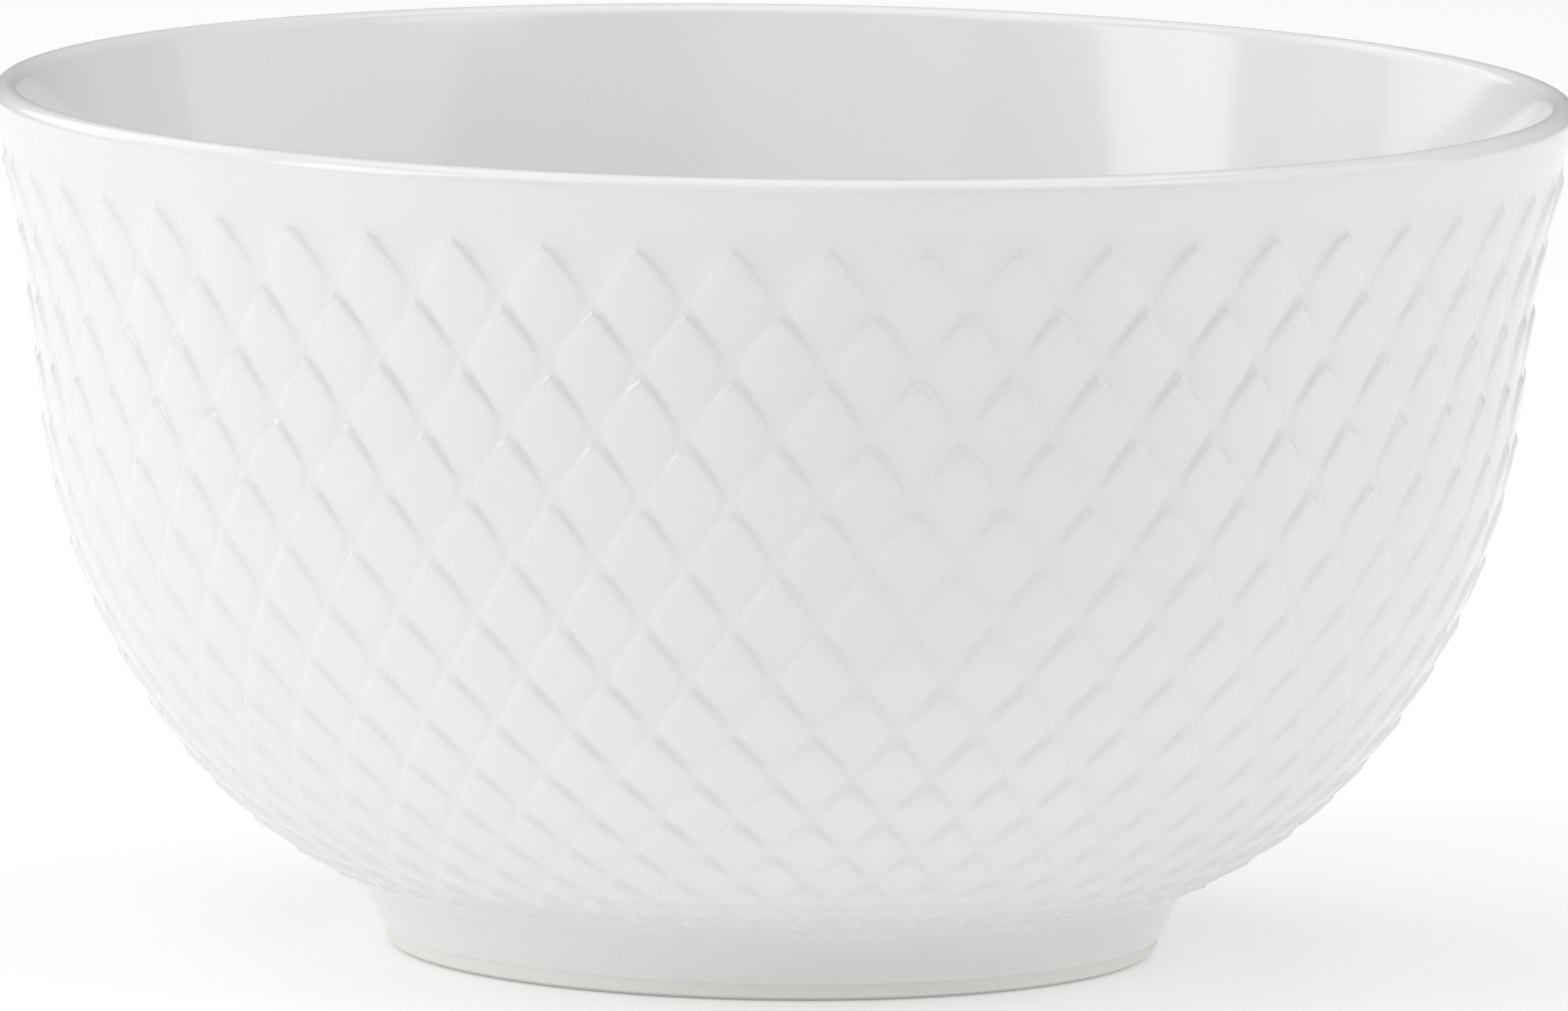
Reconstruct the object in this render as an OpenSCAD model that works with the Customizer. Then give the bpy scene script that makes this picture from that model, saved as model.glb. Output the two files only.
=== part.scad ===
// Shaving bowl: a porcelain cup on a foot ring, under one clear-over-white glaze.
// Millimetres, +Z up. The origin is on the table, at the centre of the foot ring.
// Every section is drawn as [radius, height] and turned about the bowl's axis.

/* [Bowl] */
// Diameter over the outside of the lip
rim_d = 120; // [118:0.5:124]
// Height from the table to the crest of the lip
height = 65.5; // [64:0.5:69]
// Thickness of the wall and of the floor, glaze included
wall_t = 3.2; // [2.8:0.1:3.8]
// Thickness of the round bead at the lip, glaze included
lip_t = 2.2; // [1.8:0.1:2.6]

/* [Outside curve] */
// Radius of the tight curve where the floor turns up into the wall
shoulder_r = 33.5; // [32:0.5:35]
// Radius of the long curve of the belly
belly_r = 50; // [48:0.5:51]
// Slope of the outside where it leaves the foot ring, from the horizontal
foot_slope = 22; // [18:1:26]
// Slope where the shoulder runs into the belly, from the horizontal
shoulder_slope = 50; // [46:1:54]
// Slope where the belly runs into the flared wall, from the horizontal
wall_slope = 86; // [84:0.5:87]

/* [Foot ring] */
// Outside diameter of the foot ring where it meets the cup
foot_top_d = 62.8; // [60:0.2:64]
// Height of the foot ring at its outside
foot_h = 5.35; // [4.8:0.05:6]
// Lean of the foot ring's outside, from the vertical
foot_lean = 24; // [15:1:28]
// Width of the foot ring at the table, before its edges are rounded
foot_t = 3.4; // [2.8:0.1:4]
// Lean of the foot ring's inside, from the vertical
foot_draft = 8; // [4:1:12]
// Radius of the rounded edges that the bowl stands on
foot_edge_r = 1.1; // [0.8:0.1:1.3]

/* [Glaze] */
// Thickness of the glaze
glaze_t = 0.3; // [0.2:0.05:0.4]
// Height of the bare rim that is wiped clean of glaze, so that the bowl can stand in the kiln
bare_h = 1.4; // [1.2:0.1:1.8]

/* [Hidden] */
$fn = 180;
// Largest turn between two points of a curved outline, in degrees
STEP = 3;
porcelain = "#EFECE4";
glaze = "#F6F6F4";

// Unit vector out of a surface that slopes at angle a
function out(a) = [sin(a), -cos(a)];
// Points of an arc about c, from the place where the slope is a to the place where it is b
function arc(c, r, a, b) = let (n = ceil(abs(b - a) / STEP)) [for (i = [0 : n]) c + r * out(a + (b - a) * i / n)];
function reversed(list) = [for (i = [len(list) - 1 : -1 : 0]) list[i]];
// Distance from p along the unit vector u to the far side of the circle of radius r about c
function reach(p, u, c, r) = let (k = (p - c) * u) -k + sqrt(k * k - (p - c) * (p - c) + r * r);
// Slope of the circle about c at its point p
function slope_at(p, c) = atan2(p.x - c.x, c.y - p.y);

// The shoulder and the belly: two arcs that share a tangent, with the same centres inside and outside
joint = [foot_top_d / 2, foot_h];
shoulder_c = joint - shoulder_r * out(foot_slope);
belly_c = shoulder_c + (shoulder_r - belly_r) * out(shoulder_slope);
// The bead of the lip
bead_r = lip_t / 2;
bead_c = [rim_d / 2 - bead_r, height - bead_r];
// The flared wall: an arc that leaves the belly at wall_slope and touches the bead,
// on the bead's outer side (side = 1) or its inner side (side = -1)
function belly_end(side) = belly_c + (side > 0 ? belly_r : belly_r - wall_t) * out(wall_slope);
function flare_r(side) =
    let (v = belly_end(side) - bead_c)
    (v * v - bead_r * bead_r) / (2 * (side * bead_r - v * out(wall_slope)));
function flare_c(side) = belly_end(side) + flare_r(side) * out(wall_slope);
function lip_slope(side) = atan2(flare_c(side).x - bead_c.x, bead_c.y - flare_c(side).y);

// Outside of the cup at depth d below the surface, from slope a up to the crest of the lip
function outside(d, a) = concat(
    arc(shoulder_c, shoulder_r - d, a, shoulder_slope),
    arc(belly_c, belly_r - d, shoulder_slope, wall_slope),
    arc(flare_c(1), -flare_r(1) - d, wall_slope, lip_slope(1)),
    arc(bead_c, bead_r - d, lip_slope(1), 180));
// Inside of the cup at depth d below the surface, from the crest of the lip down to the axis
function inside(d) = concat(
    arc(bead_c, bead_r - d, 180, 180 + lip_slope(-1)),
    arc(flare_c(-1), d - flare_r(-1), lip_slope(-1), wall_slope),
    arc(belly_c, belly_r - wall_t + d, wall_slope, shoulder_slope),
    arc(shoulder_c, shoulder_r - wall_t + d, shoulder_slope, 0),
    [[0, shoulder_c.y - shoulder_r + wall_t - d]]);

// The sides of the foot ring are straight: a point on the table and a unit vector up the side,
// at depth d below the surface
up_outer = [sin(foot_lean), cos(foot_lean)];
up_inner = [-sin(foot_draft), cos(foot_draft)];
foot_outer_r = joint.x - foot_h * tan(foot_lean);
function outer_base(d) = [foot_outer_r - d / cos(foot_lean), 0];
function inner_base(d) = [foot_outer_r - foot_t + d / cos(foot_draft), 0];
// The point of a side that is at height z
function at_height(p, u, z) = p + u * (z - p.y) / u.y;
// The point of a side that meets the cup's underside at depth d
function at_cup(p, u, d) = p + u * reach_up(p, u, shoulder_r - d);
// The side crosses the shoulder's circle from outside it, so the near crossing is the one wanted
function reach_up(p, u, r) = -reach(p, -u, shoulder_c, r);

// Where each side of the foot ring meets the cup, under the glaze (g) and on its surface (s)
outer_g = at_cup(outer_base(glaze_t), up_outer, glaze_t);
inner_g = at_cup(inner_base(glaze_t), up_inner, glaze_t);
inner_s = at_cup(inner_base(0), up_inner, 0);
outer_slope = slope_at(outer_g, shoulder_c);
inner_slope = slope_at(inner_g, shoulder_c);
inner_s_slope = slope_at(inner_s, shoulder_c);

// Rounded edges of the foot ring: the centre of the arc that touches the table and one side
function edge_c(p, u, side) = [p.x - side * foot_edge_r * (1 - side * u.x) / u.y, foot_edge_r];

module cup_section() {
    polygon(concat(
        [[0, shoulder_c.y - shoulder_r + glaze_t]],
        arc(shoulder_c, shoulder_r - glaze_t, 0, inner_slope),
        arc(shoulder_c, shoulder_r - glaze_t, inner_slope, outer_slope),
        outside(glaze_t, outer_slope),
        inside(glaze_t)));
}

module foot_ring_section() {
    outer_edge = edge_c(outer_base(0), up_outer, 1);
    inner_edge = edge_c(inner_base(0), up_inner, -1);
    polygon(concat(
        arc(inner_edge, foot_edge_r, foot_draft - 90, 0),
        arc(outer_edge, foot_edge_r, 0, 90 - foot_lean),
        [at_height(outer_base(0), up_outer, bare_h), at_height(outer_base(glaze_t), up_outer, bare_h)],
        arc(shoulder_c, shoulder_r - glaze_t, outer_slope, inner_slope),
        [at_height(inner_base(glaze_t), up_inner, bare_h), at_height(inner_base(0), up_inner, bare_h)]));
}

module glaze_coat_section() {
    polygon(concat(
        [at_height(outer_base(0), up_outer, bare_h)],
        outside(0, foot_slope),
        inside(0),
        reversed(inside(glaze_t)),
        reversed(outside(glaze_t, outer_slope)),
        [at_height(outer_base(glaze_t), up_outer, bare_h)]));
}

module base_glaze_section() {
    polygon(concat(
        [[0, shoulder_c.y - shoulder_r]],
        arc(shoulder_c, shoulder_r, 0, inner_s_slope),
        [at_height(inner_base(0), up_inner, bare_h), at_height(inner_base(glaze_t), up_inner, bare_h)],
        arc(shoulder_c, shoulder_r - glaze_t, inner_slope, 0),
        [[0, shoulder_c.y - shoulder_r + glaze_t]]));
}

// The cup of fired porcelain
module cup() {
    color(porcelain) rotate_extrude() cup_section();
}

// The ring that is luted under the cup with slip before firing, bare where it stands
module foot_ring() {
    color(porcelain) rotate_extrude() foot_ring_section();
}

// The glaze inside the bowl, over the lip and down the outside, fused to the cup and the ring
module glaze_coat() {
    color(glaze) rotate_extrude() glaze_coat_section();
}

// The glaze under the floor and on the inside of the foot ring
module base_glaze() {
    color(glaze) rotate_extrude() base_glaze_section();
}

cup();
foot_ring();
glaze_coat();
base_glaze();
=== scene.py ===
import math

import bpy
from mathutils import Matrix, Vector


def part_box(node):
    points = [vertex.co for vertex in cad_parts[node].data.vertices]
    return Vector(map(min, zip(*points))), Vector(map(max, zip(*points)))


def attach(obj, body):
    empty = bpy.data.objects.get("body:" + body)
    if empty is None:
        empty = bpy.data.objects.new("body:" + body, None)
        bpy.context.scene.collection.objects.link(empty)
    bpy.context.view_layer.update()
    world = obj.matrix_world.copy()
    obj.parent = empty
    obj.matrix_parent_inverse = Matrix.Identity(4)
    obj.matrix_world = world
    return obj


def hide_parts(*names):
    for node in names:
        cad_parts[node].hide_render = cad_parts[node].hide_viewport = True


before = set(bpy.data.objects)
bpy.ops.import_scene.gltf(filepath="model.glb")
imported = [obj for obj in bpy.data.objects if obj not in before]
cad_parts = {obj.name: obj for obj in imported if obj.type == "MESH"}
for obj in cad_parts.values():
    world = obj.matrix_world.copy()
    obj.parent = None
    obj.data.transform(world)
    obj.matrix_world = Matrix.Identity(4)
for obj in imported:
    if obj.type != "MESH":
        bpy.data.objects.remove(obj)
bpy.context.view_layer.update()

# A shaving bowl of white porcelain: a slip-cast cup with a lattice of upright diamond scales
# moulded round it, a ring luted under it as its foot, and a glossy white glaze over both, which is
# wiped off where the ring stands.

MM = 0.001

# The bowl's own dimensions. Its width and height come from the frame.
GLAZE_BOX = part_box("glaze_coat")
RIM_R = round(GLAZE_BOX[1].x / MM, 1) * MM
HEIGHT = round(GLAZE_BOX[1].z / MM, 1) * MM
WALL = 3.2 * MM
LIP = 2.2 * MM
LIP_LAP = 12             # degrees by which the lip's rounding overlaps each wall
SHOULDER_R = 33.5 * MM
BELLY_R = 50 * MM
FOOT_SLOPE = 22
SHOULDER_SLOPE = 50
WALL_SLOPE = 86
FOOT_TOP_R = 31.4 * MM
FOOT_H = 5.35 * MM
FOOT_T = 3.4 * MM
FOOT_LEAN = 24
FOOT_DRAFT = 8
FOOT_EDGE_R = 1.1 * MM
GLAZE = 0.3 * MM
BARE_H = 1.4 * MM        # height to which the ring is left bare
WIPED = 0.1 * MM         # how far the bare ring lies inside the glazed surface
TUCK = 0.25 * MM         # how far below the glaze's edge the bare ring starts to step in

# The lattice: diamonds round the bowl, and half rows of them up the wall. A row is lower where
# the bowl is narrower, so that every diamond keeps its proportions.
DIAMONDS = 52
HALF_ROWS = 15
HALF_ROW = 0.0878        # height of half a row, over the bowl's radius there
PLAIN_FOOT = 0.035       # height of the plain strip above the foot ring, in the same measure
BEVEL = 0.58 * MM        # width of the sloping edge round a scale
TIP_RISE = 0.46 * MM     # how far a scale's upper tip is pulled out
SIDE_RISE = 0.25 * MM    # and its side corners
SINK = 0.12 * MM         # how far the lines between the scales lie below the plain surface
EDGE_CREASE = 0.42       # how crisp a scale's upper edges stay when the lattice is smoothed
LINE_CREASE = 0.3        # and the lines between the scales

FINE, COARSE = 2, 1      # subdivision of what shows, and of what the glaze hides
SMOOTH_ANGLE = 40        # edges flatter than this are shaded smooth


# ---------------------------------------------------------------- the bowl's section

def out(slope):
    """Unit vector out of a surface with that slope, as (radius, height)."""
    return Vector((math.sin(math.radians(slope)), -math.cos(math.radians(slope))))


def arc(centre, radius, start, end, spans):
    """Control points of an arc from slope start to slope end, without its first point. They stand
    outside the arc, because subdivision draws them back in to it."""
    step = (end - start) / spans
    stand_off = 3 / (2 + math.cos(math.radians(step)))
    return [centre + radius * stand_off * out(start + step * i) for i in range(1, spans + 1)]


JOINT = Vector((FOOT_TOP_R, FOOT_H))
SHOULDER_C = JOINT - SHOULDER_R * out(FOOT_SLOPE)
BELLY_C = SHOULDER_C + (SHOULDER_R - BELLY_R) * out(SHOULDER_SLOPE)
BEAD_R = LIP / 2
BEAD_C = Vector((RIM_R - BEAD_R, HEIGHT - BEAD_R))


def flare(side):
    """Centre, radius and end slope of the flared wall, outside (side 1) or inside (side -1)."""
    start = BELLY_C + (BELLY_R if side > 0 else BELLY_R - WALL) * out(WALL_SLOPE)
    v = start - BEAD_C
    radius = (v.dot(v) - BEAD_R ** 2) / (2 * (side * BEAD_R - v.dot(out(WALL_SLOPE))))
    centre = start + radius * out(WALL_SLOPE)
    return centre, radius, math.degrees(math.atan2(centre.x - BEAD_C.x, BEAD_C.y - centre.y))


FLARE_OUT = flare(1)
FLARE_IN = flare(-1)


def wall_outside(depth, spans):
    """Points of the outside from the foot to the top of the flared wall, at a depth below it."""
    pieces = (
        (SHOULDER_C, SHOULDER_R - depth, FOOT_SLOPE, SHOULDER_SLOPE),
        (BELLY_C, BELLY_R - depth, SHOULDER_SLOPE, WALL_SLOPE),
        (FLARE_OUT[0], -FLARE_OUT[1] - depth, WALL_SLOPE, FLARE_OUT[2]),
    )
    points = [SHOULDER_C + (SHOULDER_R - depth) * out(FOOT_SLOPE)]
    for centre, radius, start, end in pieces:
        points += arc(centre, radius, start, end, spans)
    return points


def lattice_rings(depth):
    """The rings of the lattice at a depth below the surface, spaced in proportion to their radius."""
    levels = [PLAIN_FOOT + HALF_ROW * i for i in range(HALF_ROWS + 1)]
    top, under = wall_outside(0, 200), wall_outside(depth + SINK, 200)
    rings, measure = [], 0
    for i in range(len(top) - 1):
        step = (top[i + 1] - top[i]).length / top[i].x
        while levels and measure + step >= levels[0]:
            rings.append(under[i].lerp(under[i + 1], (levels.pop(0) - measure) / step))
        measure += step
    return rings


def band(depth):
    """The plain band between the lattice and the bead of the lip."""
    centre, radius, end = FLARE_OUT
    start = math.degrees(math.asin((centre.x - lattice_rings(0)[-1].x) / radius))
    return arc(centre, -radius - depth, start, end, 3)[:-1]


def bead(depth):
    """The rounded lip, started and ended a little inside the walls so that it runs into them."""
    return arc(BEAD_C, BEAD_R - depth, FLARE_OUT[2] - LIP_LAP, 180 + FLARE_IN[2] + LIP_LAP, 8)


def inside(depth):
    """The inside, from below the bead to the middle of the floor."""
    centre, radius, end = FLARE_IN
    points = arc(centre, depth - radius, end, WALL_SLOPE, 5)
    points += arc(BELLY_C, BELLY_R - WALL + depth, WALL_SLOPE, SHOULDER_SLOPE, 4)
    points += arc(SHOULDER_C, SHOULDER_R - WALL + depth, SHOULDER_SLOPE, 0, 5)
    floor_z = SHOULDER_C.y - SHOULDER_R + WALL - depth
    return points[:-1] + [Vector((SHOULDER_C.x * k, floor_z)) for k in (1, 0.6, 0.2)]


# The foot ring: each side is a straight line up from the table, at a depth below the surface.
UP_OUTER = Vector((math.sin(math.radians(FOOT_LEAN)), math.cos(math.radians(FOOT_LEAN))))
UP_INNER = Vector((-math.sin(math.radians(FOOT_DRAFT)), math.cos(math.radians(FOOT_DRAFT))))
FOOT_R = FOOT_TOP_R - FOOT_H * UP_OUTER.x / UP_OUTER.y


def outer_side(depth, z):
    """Point on the ring's outside, at a depth below its surface and a height above the table."""
    return Vector((FOOT_R - depth / UP_OUTER.y + z * UP_OUTER.x / UP_OUTER.y, z))


def inner_side(depth, z):
    """Point on the ring's inside, at a depth below its surface and a height above the table."""
    return Vector((FOOT_R - FOOT_T + depth / UP_INNER.y + z * UP_INNER.x / UP_INNER.y, z))


def meets_cup(side, depth):
    """Where a side of the foot ring at a depth meets the cup's underside at the same depth."""
    foot, up = side(depth, 0), UP_OUTER if side is outer_side else UP_INNER
    k = (foot - SHOULDER_C).dot(up)
    gap = (foot - SHOULDER_C).length_squared - (SHOULDER_R - depth) ** 2
    return foot + up * (-k - math.sqrt(k * k - gap))


def slope_at(point):
    """Slope of the cup's underside at one of its points."""
    return math.degrees(math.atan2(point.x - SHOULDER_C.x, SHOULDER_C.y - point.y))


def edge_centre(side, up, sign):
    """Centre of the rounded edge between the table and a side of the foot ring."""
    return Vector((side(0, 0).x - sign * FOOT_EDGE_R * (1 - sign * up.x) / up.y, FOOT_EDGE_R))


# ---------------------------------------------------------------- work at the bench

def deselect():
    """Leaves no object selected."""
    bpy.ops.object.select_all(action="DESELECT")


def edit(piece):
    """Opens a piece in edit mode with all of it selected."""
    deselect()
    bpy.context.view_layer.objects.active = piece
    piece.select_set(True)
    bpy.ops.object.mode_set(mode="EDIT")
    bpy.ops.mesh.select_mode(type="VERT")
    bpy.ops.mesh.select_all(action="SELECT")


def done():
    """Closes edit mode."""
    bpy.ops.object.mode_set(mode="OBJECT")


def pick(piece, kind, wanted):
    """In edit mode, selects the vertices, edges or polygons for which wanted(element) is true."""
    done()
    mesh = piece.data
    for group in (mesh.vertices, mesh.edges, mesh.polygons):
        group.foreach_set("select", [False] * len(group))
    for element in getattr(mesh, kind):
        element.select = wanted(element)
    mode = {"vertices": "VERT", "edges": "EDGE", "polygons": "FACE"}[kind]
    bpy.ops.object.mode_set(mode="EDIT")
    bpy.ops.mesh.select_mode(type=mode)


def subdivide(piece, levels):
    """Smooths a piece with that many levels of subdivision."""
    done()
    modifier = piece.modifiers.new("subdivision", "SUBSURF")
    modifier.levels = levels
    modifier.render_levels = levels
    bpy.context.view_layer.objects.active = piece
    bpy.ops.object.modifier_apply(modifier=modifier.name)


def rounded(radius):
    """Radius at which a ring of vertices comes back to the given one once it is subdivided."""
    return radius * 3 / (2 + math.cos(2 * math.pi / DIAMONDS))


def start_ring(name, point):
    """A ring of vertices at (radius, height), open in edit mode."""
    deselect()
    bpy.ops.mesh.primitive_circle_add(vertices=DIAMONDS, radius=rounded(point.x))
    piece = bpy.context.object
    piece.name = name
    piece.data.name = name
    piece.location.z = point.y
    bpy.ops.object.transform_apply(location=True)
    edit(piece)
    return piece


def next_ring(last, point, turn=0.0):
    """Extrudes the selected ring from the point last to the point given, turned by an angle."""
    bpy.ops.mesh.extrude_region_move(TRANSFORM_OT_translate={"value": (0, 0, point.y - last.y)})
    size = point.x / last.x
    bpy.ops.transform.resize(value=(size, size, 1), center_override=(0, 0, point.y))
    if turn:
        bpy.ops.transform.rotate(value=turn, orient_axis="Z", center_override=(0, 0, point.y))


def rings_through(points):
    """Extrudes the selected ring from the first point through all the others."""
    for last, point in zip(points, points[1:]):
        next_ring(last, point)


def close_start(piece):
    """Closes the ring that a piece was started from."""
    pick(piece, "vertices", lambda v: v.index < DIAMONDS)
    bpy.ops.mesh.edge_face_add()


def finish(piece):
    """Turns all faces outwards and shades them smooth."""
    edit(piece)
    bpy.ops.mesh.normals_make_consistent(inside=False)
    done()
    bpy.ops.object.shade_smooth_by_angle(angle=math.radians(SMOOTH_ANGLE))
    return piece


# ---------------------------------------------------------------- the lattice

def raise_lattice(rings):
    """Extrudes the selected ring through the lattice's rings, each half a diamond on from the
    last, so that its lines run up the wall both ways."""
    half_turn = math.pi / DIAMONDS
    for i, (last, point) in enumerate(zip(rings, rings[1:])):
        next_ring(last, point, half_turn if i % 2 == 0 else -half_turn)


def shape_scales(piece, rings_below):
    """Cuts the lattice's quads into diamonds, bevels them, and pulls out their upper corners."""
    bpy.ops.mesh.select_all(action="SELECT")
    bpy.ops.mesh.normals_make_consistent(inside=False)
    done()
    first = rings_below * DIAMONDS
    row = {v: (v - first) // DIAMONDS for v in range(first, first + (HALF_ROWS + 1) * DIAMONDS)}

    def in_lattice(element):
        return all(v in row for v in element.vertices)

    def joins_halves(edge):
        """An edge round the bowl, between the lower and the upper half of a diamond."""
        rows = {row.get(v) for v in edge.vertices}
        return len(rows) == 1 and rows <= set(range(1, HALF_ROWS))

    def is_scale(face):
        """A whole diamond, or the upper half of one that the foot ring cuts off."""
        return in_lattice(face) and (len(face.vertices) == 4 or any(row[v] == 1 for v in face.vertices))

    pick(piece, "polygons", in_lattice)
    bpy.ops.mesh.quads_convert_to_tris(quad_method="SHORTEST_DIAGONAL")
    pick(piece, "edges", joins_halves)
    bpy.ops.mesh.dissolve_edges(use_verts=False)
    pick(piece, "polygons", is_scale)
    bpy.ops.mesh.inset(thickness=BEVEL, use_individual=True, use_even_offset=True)
    done()
    tips, sides, crests = set(), set(), set()
    for face in piece.data.polygons:
        if face.select:
            corners = sorted(face.vertices, key=lambda v: piece.data.vertices[v].co.z)
            tips.add(corners[-1])
            sides.update(corners[-3:-1])
            crests.update(key for key in face.edge_keys if corners[-1] in key)
    for corners, rise in ((tips, TIP_RISE), (sides, SIDE_RISE)):
        pick(piece, "vertices", lambda v: v.index in corners)
        bpy.ops.transform.shrink_fatten(value=rise)

    def is_arris(edge):
        """An upper edge of a scale, or the line from its tip down the bevel."""
        ends = set(edge.vertices)
        return edge.key in crests or (len(ends & tips) == 1 and any(v in row for v in ends))

    pick(piece, "edges", is_arris)
    bpy.ops.transform.edge_crease(value=EDGE_CREASE)
    pick(piece, "edges", in_lattice)
    bpy.ops.transform.edge_crease(value=LINE_CREASE)


# ---------------------------------------------------------------- the pieces

def bowl_skin(name, depth, start, levels, closed=False, scaly=True):
    """The skin of the bowl at a depth below its surface: from the start points through the
    lattice, over the lip and down the inside to the middle of the floor."""
    rings = lattice_rings(depth)
    piece = start_ring(name, start[0])
    rings_through(start + rings[:1])
    raise_lattice(rings)
    rings_through(rings[-1:] + band(depth) + bead(depth) + inside(depth))
    bpy.ops.mesh.edge_face_add()
    if closed:
        close_start(piece)
    if scaly:
        shape_scales(piece, len(start))
    subdivide(piece, levels)
    return piece


def cast_cup():
    """The cast cup, closed underneath, with its seat on the foot ring."""
    seat = slope_at(meets_cup(outer_side, GLAZE))
    floor_z = SHOULDER_C.y - SHOULDER_R + GLAZE
    start = [Vector((SHOULDER_C.x * k, floor_z)) for k in (0.3, 0.65, 1)]
    start += arc(SHOULDER_C, SHOULDER_R - GLAZE, 0, seat, 3)
    return finish(bowl_skin("cast_cup", GLAZE, start, COARSE, closed=True))


def bowl_glaze():
    """The glaze from its edge on the foot ring to the floor of the bowl: the skin that shows, and
    the skin that lies on the clay, bridged where the glaze ends."""
    start = [
        outer_side(0.45 * GLAZE, BARE_H),
        outer_side(0, BARE_H + 0.2 * MM),
        outer_side(-0.04 * MM, BARE_H + 0.6 * MM),
        outer_side(0, (BARE_H + FOOT_H) / 2),
        outer_side(0, FOOT_H - 0.7 * MM),
        JOINT + Vector((0.05 * MM, -0.08 * MM)),
    ]
    shown = bowl_skin("bowl_glaze", 0, start, FINE)
    under = [outer_side(GLAZE, BARE_H), outer_side(GLAZE, 0.7 * FOOT_H), meets_cup(outer_side, GLAZE)]
    hidden = bowl_skin("glaze_underside", GLAZE, under, COARSE, scaly=False)
    deselect()
    hidden.select_set(True)
    shown.select_set(True)
    bpy.context.view_layer.objects.active = shown
    bpy.ops.object.join()
    edit(shown)
    bpy.ops.mesh.select_mode(type="EDGE")
    bpy.ops.mesh.select_all(action="DESELECT")
    bpy.ops.mesh.select_non_manifold(extend=False)
    bpy.ops.mesh.bridge_edge_loops()
    done()
    return finish(shown)


def standing_ring():
    """The ring that the bowl stands on, with a rounded foot and its seat against the cup."""
    outer_edge = edge_centre(outer_side, UP_OUTER, 1)
    inner_edge = edge_centre(inner_side, UP_INNER, -1)
    outer_seat, inner_seat = meets_cup(outer_side, GLAZE), meets_cup(inner_side, GLAZE)
    outer_end, inner_end = 90 - FOOT_LEAN, FOOT_DRAFT - 90
    points = [Vector(((outer_edge.x + inner_edge.x) / 2, 0))]
    points += arc(outer_edge, FOOT_EDGE_R, -outer_end / 4, outer_end, 5)
    points += [outer_side(WIPED, BARE_H - TUCK), outer_side(GLAZE, BARE_H + 0.05 * MM)]
    points += [outer_side(GLAZE, 0.6 * FOOT_H), outer_seat]
    points += arc(SHOULDER_C, SHOULDER_R - GLAZE, slope_at(outer_seat), slope_at(inner_seat), 3)
    points += [inner_side(GLAZE, BARE_H + 0.05 * MM), inner_side(WIPED, BARE_H - TUCK)]
    points += arc(inner_edge, FOOT_EDGE_R, inner_end * 1.25, 0, 5)
    points += points[:1]
    piece = start_ring("standing_ring", points[0])
    rings_through(points)
    bpy.ops.mesh.select_all(action="SELECT")
    bpy.ops.mesh.remove_doubles(threshold=1e-6)
    subdivide(piece, FINE)
    return finish(piece)


def underside_glaze():
    """The glaze under the floor and down the inside of the ring, to where it is wiped off."""
    corner, seat = meets_cup(inner_side, 0), meets_cup(inner_side, GLAZE)
    shown_z, under_z = (SHOULDER_C.y - SHOULDER_R + depth for depth in (0, GLAZE))
    points = [Vector((SHOULDER_C.x * k, shown_z)) for k in (0.3, 0.65)]
    points += arc(SHOULDER_C, SHOULDER_R, -3, slope_at(corner) - 2, 4)
    points += [corner + Vector((-0.1 * MM, -0.1 * MM)), inner_side(0, corner.y - 0.8 * MM)]
    points += [inner_side(0, BARE_H + 0.3 * MM), inner_side(0.45 * GLAZE, BARE_H)]
    points += [inner_side(GLAZE, BARE_H), inner_side(GLAZE, BARE_H + 0.3 * MM), seat]
    points += arc(SHOULDER_C, SHOULDER_R - GLAZE, slope_at(seat), 0, 4)[:-1]
    points += [Vector((SHOULDER_C.x * k, under_z)) for k in (1, 0.65, 0.3)]
    piece = start_ring("underside_glaze", points[0])
    rings_through(points)
    bpy.ops.mesh.edge_face_add()
    close_start(piece)
    subdivide(piece, FINE)
    return finish(piece)


# ---------------------------------------------------------------- materials

def linear(hex_colour):
    """Linear RGBA of an sRGB hex colour."""
    parts = [int(hex_colour[i:i + 2], 16) / 255 for i in (1, 3, 5)]
    return [c / 12.92 if c <= 0.04045 else ((c + 0.055) / 1.055) ** 2.4 for c in parts] + [1]


def add(tree, kind, sockets=(), links=(), **settings):
    """Adds a node with its settings, the values of its sockets and the links to them."""
    node = tree.nodes.new(kind)
    for name, value in settings.items():
        setattr(node, name, value)
    for name, value in dict(sockets).items():
        node.inputs[name].default_value = value
    for name, source in dict(links).items():
        tree.links.new(source, node.inputs[name])
    return node


def new_material(name, **sockets):
    """A material, its node tree and its shader, with constant values set on the shader."""
    material = bpy.data.materials.new(name)
    material.use_nodes = True
    shader = material.node_tree.nodes["Principled BSDF"]
    for socket, value in sockets.items():
        shader.inputs[socket.replace("_", " ")].default_value = value
    return material, material.node_tree, shader


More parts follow.
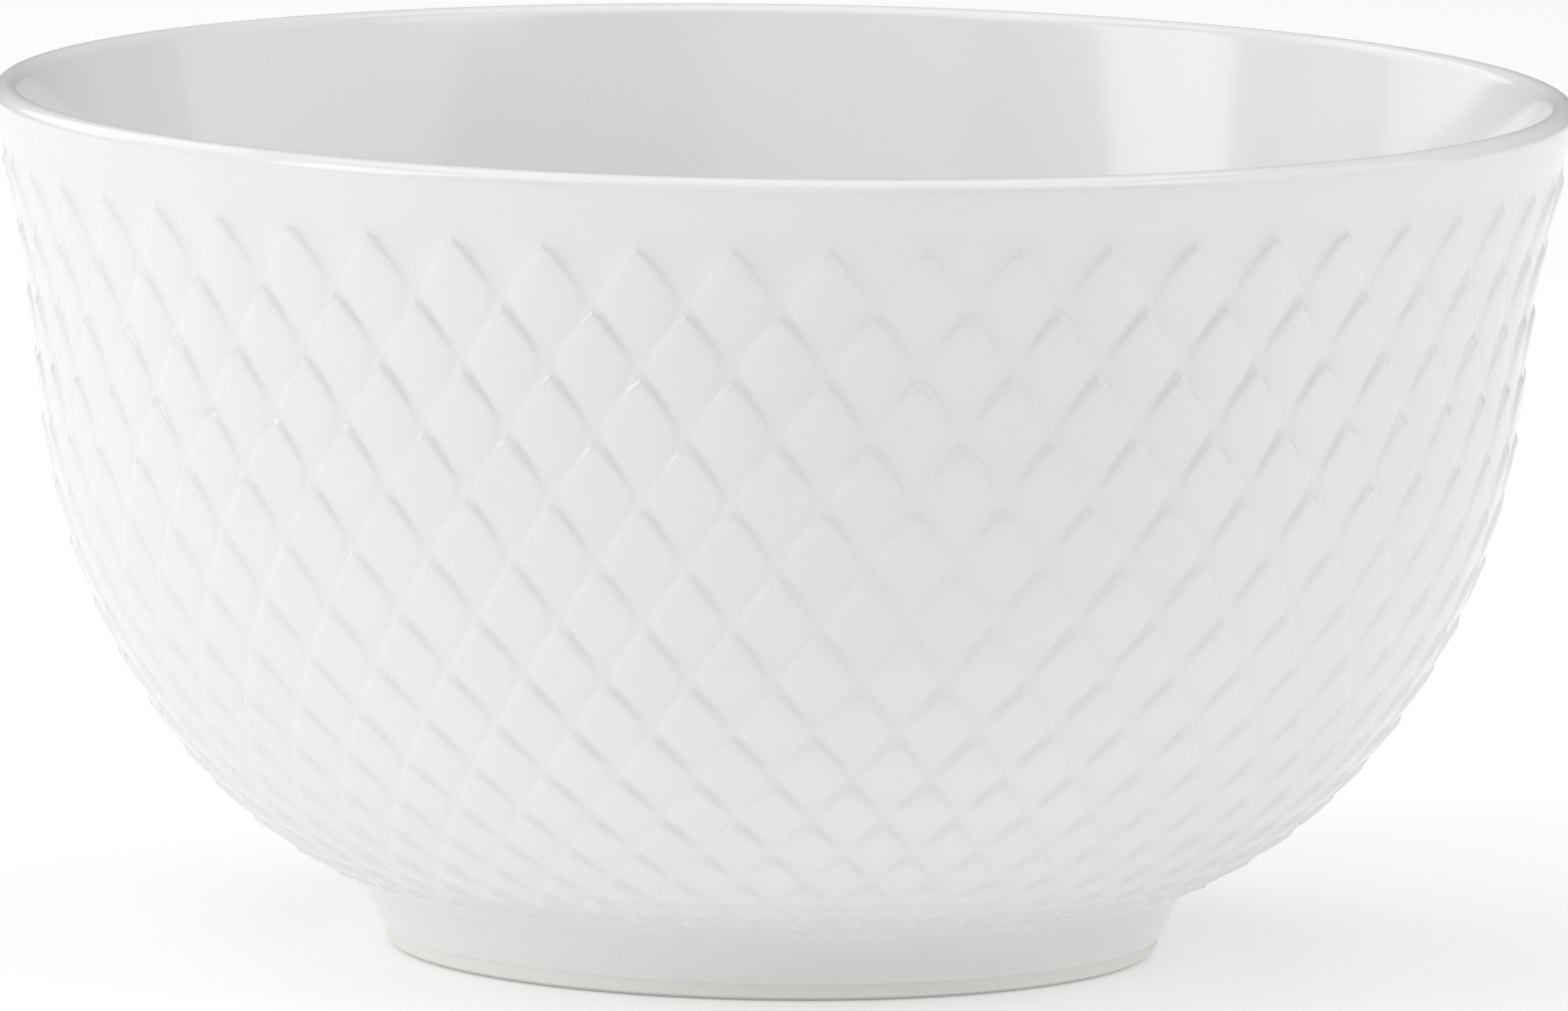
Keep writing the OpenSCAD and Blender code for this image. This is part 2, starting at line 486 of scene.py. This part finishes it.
def gloss_glaze():
    """Glossy feldspathic glaze, dipped and fired until it ran level: a hard even shine, a white
    that drifts a little with its thickness, and the faintest orange peel."""
    material, tree, shader = new_material("gloss_glaze", IOR=1.5)
    place = add(tree, "ShaderNodeTexCoord").outputs["Object"]
    drift = add(tree, "ShaderNodeTexNoise", {"Scale": 1 / (14 * MM), "Detail": 2}, {"Vector": place})
    white = add(tree, "ShaderNodeMix", {"A": linear("#EEEEED"), "B": linear("#EAEBEB")},
                {"Factor": drift.outputs["Fac"]}, data_type="RGBA")
    shine = add(tree, "ShaderNodeMapRange", {"To Min": 0.10, "To Max": 0.16},
                {"Value": drift.outputs["Fac"]})
    peel = add(tree, "ShaderNodeTexNoise", {"Scale": 1 / (1.4 * MM), "Detail": 1}, {"Vector": place})
    skin = add(tree, "ShaderNodeBump", {"Distance": 0.004 * MM}, {"Height": peel.outputs["Fac"]})
    tree.links.new(white.outputs["Result"], shader.inputs["Base Color"])
    tree.links.new(shine.outputs["Result"], shader.inputs["Roughness"])
    tree.links.new(skin.outputs["Normal"], shader.inputs["Normal"])
    return material


def bare_porcelain():
    """Hard-fired porcelain without glaze: warm white and matt, with a fine grit that is rubbed a little
    smoother where the bowl stands, and a painted contact shadow that greys it over its lowest 0.4 mm."""
    material, tree, shader = new_material("bare_porcelain", IOR=1.5)
    place = add(tree, "ShaderNodeTexCoord").outputs["Object"]
    height = add(tree, "ShaderNodeSeparateXYZ", links={"Vector": place}).outputs["Z"]
    # 0 at the table, 1 from 0.4 mm up: it makes the rubbed ring smoother and also places the painted
    #                                   contact shadow
    wear_and_shade_mask = add(tree, "ShaderNodeMapRange", {"From Min": 0.05 * MM, "From Max": 0.4 * MM},
                 {"Value": height}).outputs["Result"]
    grit = add(tree, "ShaderNodeTexNoise", {"Scale": 1 / (0.3 * MM), "Detail": 3}, {"Vector": place})
    clay = add(tree, "ShaderNodeMix", {"A": linear("#EEECE8"), "B": linear("#F2F1EE")},
               {"Factor": grit.outputs["Fac"]}, data_type="RGBA")
    # painted contact shadow: the clay darkens to grey towards the table, standing in for the shade
    # where the bowl meets it
    contact_shaded_clay = add(tree, "ShaderNodeMix", {"A": linear("#A5A4A1")},
               {"Factor": wear_and_shade_mask, "B": clay.outputs["Result"]}, data_type="RGBA")
    matt = add(tree, "ShaderNodeMapRange", {"To Min": 0.38, "To Max": 0.62}, {"Value": wear_and_shade_mask})
    bite = add(tree, "ShaderNodeBump", {"Distance": 0.02 * MM}, {"Height": grit.outputs["Fac"]})
    tree.links.new(contact_shaded_clay.outputs["Result"], shader.inputs["Base Color"])
    tree.links.new(matt.outputs["Result"], shader.inputs["Roughness"])
    tree.links.new(bite.outputs["Normal"], shader.inputs["Normal"])
    return material


# ---------------------------------------------------------------- the bowl put together

GLAZED, BARE = gloss_glaze(), bare_porcelain()
PIECES = (
    (cast_cup, "cup", "porcelain", BARE),
    (standing_ring, "foot_ring", "porcelain", BARE),
    (bowl_glaze, "glaze_coat", "glaze", GLAZED),
    (underside_glaze, "base_glaze", "glaze", GLAZED),
)
for make, node, slot, material in PIECES:
    piece = make()
    piece.data.materials.clear()
    piece.data.materials.append(material)
    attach(piece, "root")
    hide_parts(node)

# ---------------------------------------------------------------- stage, lights, camera

TABLE_SIZE = 30

bpy.ops.mesh.primitive_plane_add(size=TABLE_SIZE)
table = bpy.context.object
table.name = "table"
paper, _, paper_shader = new_material("backlit_paper", Roughness=0.9, Specular_IOR_Level=0.0)
paper_shader.inputs["Base Color"].default_value = linear("#D8D8D8")
paper_shader.inputs["Emission Color"].default_value = (1, 1, 1, 1)
paper_shader.inputs["Emission Strength"].default_value = 0.36
table.data.materials.append(paper)

world = bpy.data.worlds.new("studio")
bpy.context.scene.world = world
world.use_nodes = True
world.node_tree.nodes["Background"].inputs["Color"].default_value = (1, 1, 1, 1)
world.node_tree.nodes["Background"].inputs["Strength"].default_value = 0.225


def softbox(name, place, width, height, power):
    """A rectangular softbox at a place, aimed at the bowl."""
    data = bpy.data.lights.new(name, "AREA")
    data.shape = "RECTANGLE"
    data.size = width
    data.size_y = height
    data.energy = power
    lamp = bpy.data.objects.new(name, data)
    bpy.context.scene.collection.objects.link(lamp)
    lamp.location = place
    lamp.visible_camera = False   # so that none blocks the view from another side
    aim = Vector((0, 0, HEIGHT / 2)) - Vector(place)
    lamp.rotation_euler = aim.to_track_quat("-Z", "Y").to_euler()


# The light comes mostly from the left and above, and a smaller part from the right and the front.
softbox("key_left", (-1.08, -0.42, 0.66), 0.5, 0.8, 3.8)
softbox("high_left", (-0.7, -0.6, 1.3), 0.6, 0.6, 1.3)
softbox("wide_left", (-1.5, -0.3, 0.7), 1.9, 1.4, 3.6)
softbox("wide_right", (1.5, -0.1, 0.8), 1.6, 1.4, 7)
softbox("high_right", (0.9, -0.5, 1.1), 0.6, 0.6, 1.8)
softbox("back_left", (-1.0, 0.9, 0.8), 1.0, 1.0, 4)
softbox("overhead", (0, 0, 1.8), 2.0, 2.0, 16)
softbox("front", (-0.4, -2.4, 1.3), 2.0, 1.4, 4.6)

CAMERA_AT = Vector((0, -1.7, 0.2573))
AIMED_AT = Vector((0.00044, 0, 0.03365))
CAMERA_ROLL = math.radians(0.847)
SENSOR, LENS = 36, 518.8

camera_data = bpy.data.cameras.new("camera")
camera = bpy.data.objects.new("camera", camera_data)
bpy.context.scene.collection.objects.link(camera)
camera_data.sensor_width = SENSOR
camera_data.lens = LENS
look = (AIMED_AT - CAMERA_AT).to_track_quat("-Z", "Y").to_matrix().to_4x4()
camera.matrix_world = Matrix.Translation(CAMERA_AT) @ look @ Matrix.Rotation(CAMERA_ROLL, 4, "Z")
bpy.context.scene.camera = camera
bpy.context.scene.view_settings.view_transform = "Standard"
